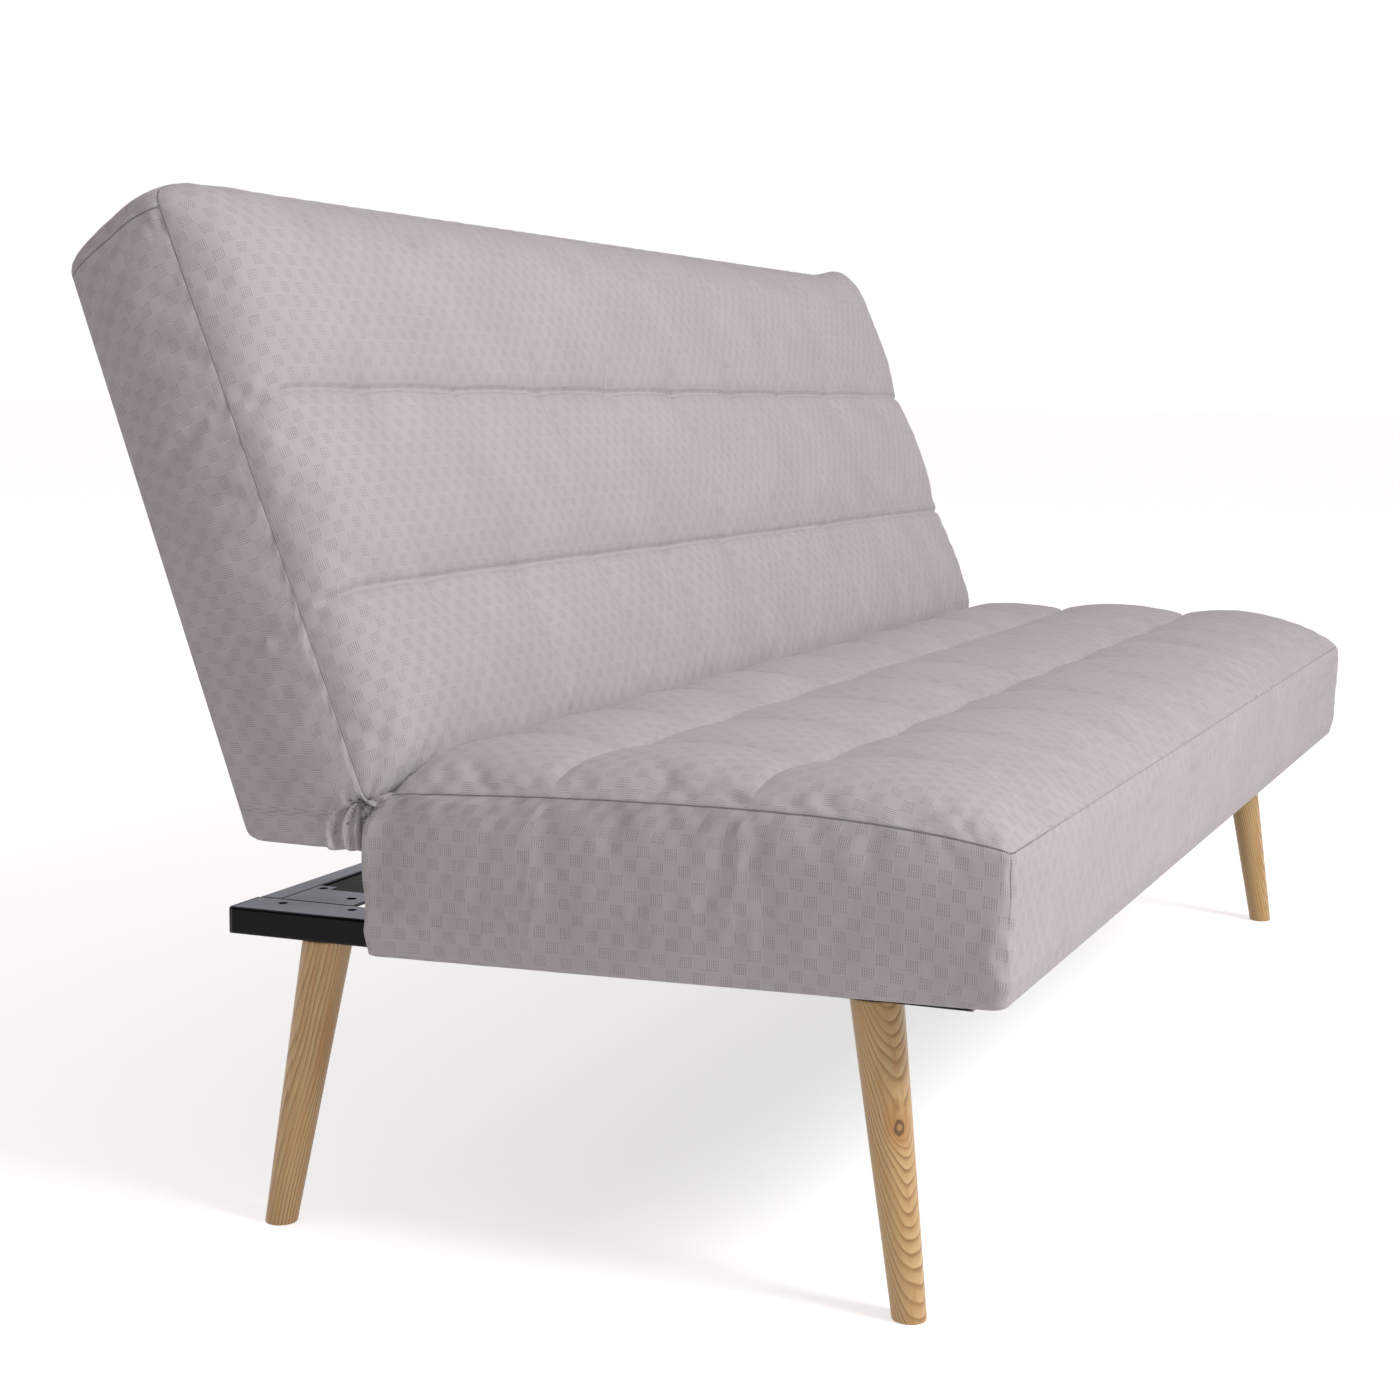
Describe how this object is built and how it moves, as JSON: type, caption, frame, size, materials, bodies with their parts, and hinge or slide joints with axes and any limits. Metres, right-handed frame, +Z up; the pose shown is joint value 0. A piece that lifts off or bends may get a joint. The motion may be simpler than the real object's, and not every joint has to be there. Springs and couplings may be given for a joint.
{
  "type": "click clack sofa bed",
  "caption": "Click-clack sofa bed: a long tufted seat and tufted backrest on ratchet hinges that recline flat, on a low tubular steel base with splayed, tapered wooden legs.",
  "frame": {"origin": "on the floor, in the middle of the sofa's footprint", "axes": "+X along the sofa, to the right of someone standing in front of it; +Y from the front of the seat towards the back; +Z up. Left in a node's name is the -X end."},
  "size_m": [1.803, 0.8774, 0.9332],
  "materials": {
    "cover_fabric": "matte",
    "dust_fabric": "matte",
    "foam": "matte",
    "plywood": "matte",
    "leg_wood": "satin",
    "base_steel": "satin",
    "frame_steel": "satin",
    "zinc_steel": "satin",
    "cap_plastic": "satin"
  },
  "bodies": {
    "base_and_seat": {"base_end_rail_left": "base_steel", "base_end_rail_right": "base_steel", "base_front_rail": "base_steel", "base_middle_rail": "base_steel", "base_rear_rail": "base_steel", "corner_gusset_front_left": "base_steel", "rail_end_cap_front_left": "cap_plastic", "leg_front_left": "leg_wood", "leg_bolt_front_left": "zinc_steel", "seat_bolt_front_left": "zinc_steel", "corner_gusset_front_right": "base_steel", "rail_end_cap_front_right": "cap_plastic", "leg_front_right": "leg_wood", "leg_bolt_front_right": "zinc_steel", "seat_bolt_front_right": "zinc_steel", "corner_gusset_rear_left": "base_steel", "rail_end_cap_rear_left": "cap_plastic", "leg_rear_left": "leg_wood", "leg_bolt_rear_left": "zinc_steel", "seat_bolt_rear_left": "zinc_steel", "corner_gusset_rear_right": "base_steel", "rail_end_cap_rear_right": "cap_plastic", "leg_rear_right": "leg_wood", "leg_bolt_rear_right": "zinc_steel", "seat_bolt_rear_right": "zinc_steel", "seat_frame_near_rail": "frame_steel", "seat_frame_far_rail": "frame_steel", "seat_frame_cross_rail": "frame_steel", "seat_frame_end_rail_left": "frame_steel", "seat_frame_end_rail_right": "frame_steel", "seat_deck": "plywood", "seat_foam_core": "foam", "seat_dust_cover": "dust_fabric", "seat_cushion": "cover_fabric", "hinge_seat_arm_left": "zinc_steel", "hinge_pivot_left": "zinc_steel", "hinge_gather_left": "cover_fabric", "hinge_seat_arm_right": "zinc_steel", "hinge_pivot_right": "zinc_steel", "hinge_gather_right": "cover_fabric"},
    "back": {"back_frame_near_rail": "frame_steel", "back_frame_far_rail": "frame_steel", "back_frame_cross_rail": "frame_steel", "back_frame_end_rail_left": "frame_steel", "back_frame_end_rail_right": "frame_steel", "back_deck": "plywood", "back_foam_core": "foam", "back_dust_cover": "dust_fabric", "back_cushion": "cover_fabric", "hinge_back_arm_left": "zinc_steel", "hinge_back_arm_right": "zinc_steel", "hinge_pawl_spring_left": "zinc_steel", "hinge_pawl_spring_right": "zinc_steel"},
    "release_disc_left": {"hinge_release_disc_left": "zinc_steel"},
    "release_disc_right": {"hinge_release_disc_right": "zinc_steel"},
    "pawl_left": {"hinge_pawl_left": "zinc_steel"},
    "pawl_right": {"hinge_pawl_right": "zinc_steel"}
  },
  "joints": [
    {"name": "back_recline", "type": "hinge", "parent": "base_and_seat", "child": "back", "pos_m": [0, 0.15276, 0.382], "axis": [-1, 0, 0], "range_deg": [-10, 68.5]},
    {"name": "release_disc_left_turn", "type": "hinge", "parent": "back", "child": "release_disc_left", "pos_m": [0, 0.15276, 0.382], "axis": [1, 0, 0], "range_deg": [0, 60]},
    {"name": "release_disc_right_turn", "type": "hinge", "parent": "back", "child": "release_disc_right", "pos_m": [0, 0.15276, 0.382], "axis": [1, 0, 0], "range_deg": [0, 60]},
    {"name": "pawl_left_drop", "type": "hinge", "parent": "back", "child": "pawl_left", "pos_m": [0, 0.18177, 0.40953], "axis": [-1, 0, 0], "range_deg": [0, 5]},
    {"name": "pawl_right_drop", "type": "hinge", "parent": "back", "child": "pawl_right", "pos_m": [0, 0.18177, 0.40953], "axis": [-1, 0, 0], "range_deg": [0, 5]}
  ],
  "couplings": [
    {"joint": "pawl_left_drop", "follows": "release_disc_left_turn", "ratio": 0.083333},
    {"joint": "pawl_right_drop", "follows": "release_disc_right_turn", "ratio": 0.083333}
  ]
}
